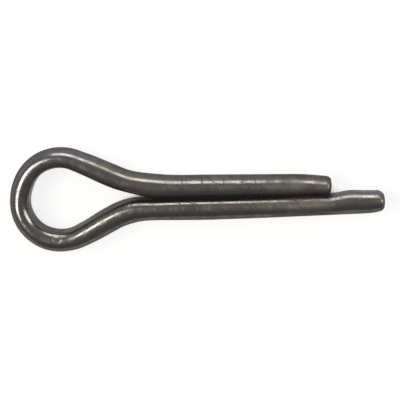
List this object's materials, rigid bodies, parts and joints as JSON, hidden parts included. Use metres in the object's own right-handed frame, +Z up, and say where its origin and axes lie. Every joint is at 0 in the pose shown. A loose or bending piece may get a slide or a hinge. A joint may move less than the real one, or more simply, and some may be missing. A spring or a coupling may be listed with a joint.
{
  "type": "cotter pin",
  "caption": "Split pin bent from half-round steel wire, with an open eye and one leg longer than the other, for locking a nut or clevis pin.",
  "frame": {"origin": "on the shank's axis at mid width, 20 mm behind the short leg's tip, where the legs begin to part into the shoulders", "axes": "+X along the shank towards the leg tips, +Y from the long leg towards the short leg, +Z up through the eye, along the width of the wire"},
  "size_m": [0.0418, 0.0118, 0.0036],
  "materials": {
    "steel": "dark bare drawn steel wire with a dull sheen"
  },
  "bodies": {
    "root": {"cotter_pin": "steel"}
  },
  "joints": []
}
